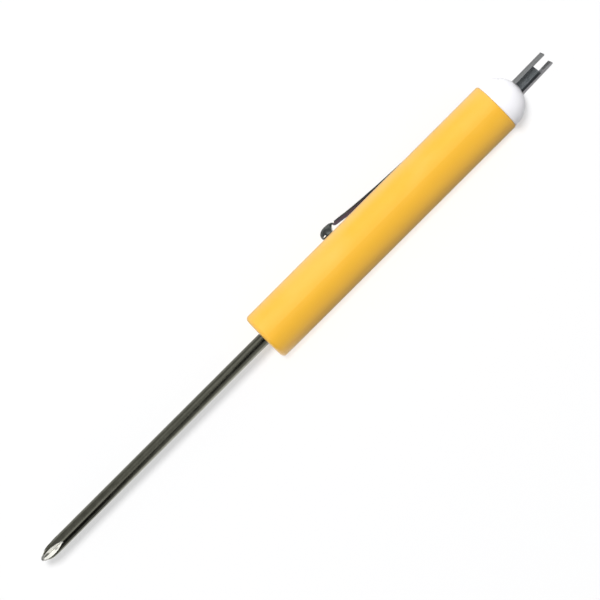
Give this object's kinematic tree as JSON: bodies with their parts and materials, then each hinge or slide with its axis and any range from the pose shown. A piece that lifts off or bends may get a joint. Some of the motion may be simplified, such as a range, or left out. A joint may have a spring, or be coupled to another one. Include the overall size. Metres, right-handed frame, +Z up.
{
  "type": "pocket screwdriver",
  "caption": "Pen-style pocket screwdriver: yellow moulded barrel, dark round steel blade with a cross point, white domed cap with a forked valve-core key, and a spring pocket clip.",
  "frame": {"origin": "on the tool's axis, where the full-size shank of the blade ends, 0.06 mm in front of the barrel's nose", "axes": "the tool lies on a bench with its axis along X: -X towards the blade's point, +X towards the cap and fork, +Z up; the clip stands 33 degrees below +Y"},
  "size_m": [0.1613, 0.0147, 0.0126],
  "materials": {
    "barrel_plastic": "satin moulded",
    "oxide_steel": "dark oxide, bare ground flutes",
    "cap_plastic": "gloss moulded",
    "fork_steel": "stamped, dark nickel",
    "clip_steel": "dark nickel"
  },
  "bodies": {
    "handle": {"barrel": "barrel_plastic", "blade": "oxide_steel", "end_cap": "cap_plastic", "valve_core_fork": "fork_steel"},
    "clip": {"pocket_clip": "clip_steel"}
  },
  "joints": [
    {"name": "clip_flex", "type": "hinge", "parent": "handle", "child": "clip", "pos_m": [0.07306, 0.00433, -0.00281], "axis": [0, -0.5446, -0.8387], "range_deg": [0, 4], "stiffness_Nm_per_rad": 0.24}
  ]
}
